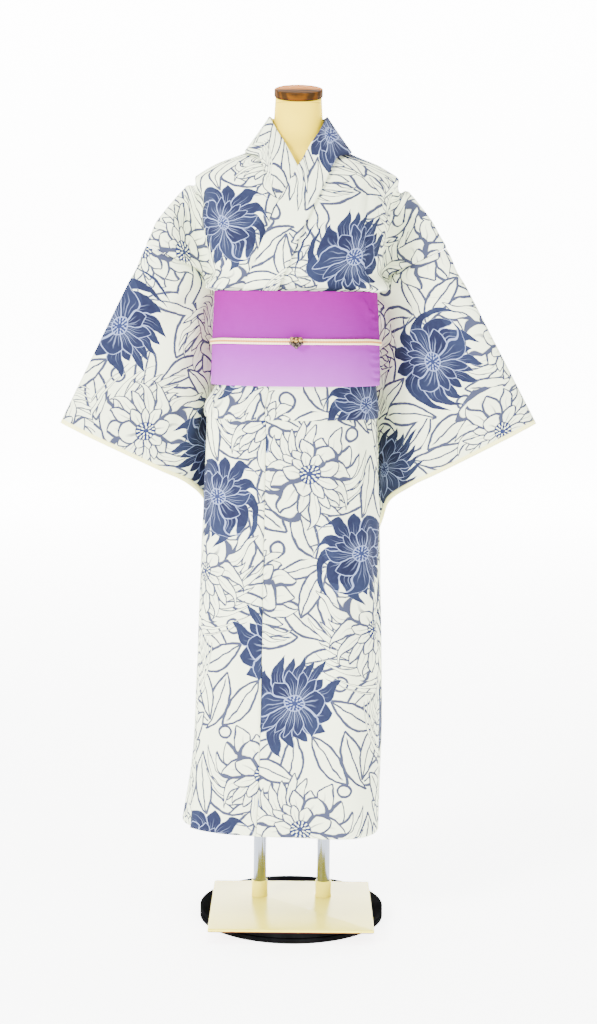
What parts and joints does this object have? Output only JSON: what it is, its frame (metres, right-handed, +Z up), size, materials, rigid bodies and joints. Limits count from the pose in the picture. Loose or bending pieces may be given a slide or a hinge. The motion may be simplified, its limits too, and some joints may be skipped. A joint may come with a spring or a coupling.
{
  "type": "yukata robe on a limbless dress form",
  "caption": "Cotton yukata robe closed left over right with a broad obi and cord, on a limbless dress form with wooden neck cap, tube legs, flat base plate and turntable.",
  "frame": {"origin": "on the floor under the dress form's upright axis, on the turntable's underside", "axes": "+Z up, -Y the garment's front, +X the viewer's right, which is the wearer's left"},
  "size_m": [0.8214, 0.3369, 1.4254],
  "materials": {
    "cotton_print": "plain woven cotton printed in indigo",
    "obi_cloth": "fine ribbed weave with a soft sheen",
    "cord_braid": "flat braid",
    "aged_gold": "aged",
    "form_cloth": "smooth cream jersey",
    "lacquered_wood": "clear lacquer",
    "chrome": "polished",
    "cream_enamel": "gloss enamel",
    "black_plastic": "satin"
  },
  "bodies": {
    "turntable": {"turntable_base": "black_plastic"},
    "figure": {"turntable_top": "black_plastic", "base_plate": "cream_enamel", "leg_socket_left": "cream_enamel", "leg_socket_right": "cream_enamel", "leg_tube_left": "chrome", "leg_tube_right": "chrome", "form_torso": "form_cloth", "neck_cap": "lacquered_wood", "body_right": "cotton_print", "overlap_right": "cotton_print", "body_left": "cotton_print", "overlap_left": "cotton_print", "collar": "cotton_print", "sleeve_right": "cotton_print", "sleeve_left": "cotton_print", "obi": "obi_cloth", "obi_cord": "cord_braid", "cord_knot": "cord_braid", "cord_ornament": "aged_gold"}
  },
  "joints": [
    {"name": "turntable_spin", "type": "hinge", "parent": "turntable", "child": "figure", "pos_m": [0, -0.025, 0], "axis": [0, 0, 1], "continuous": true}
  ]
}
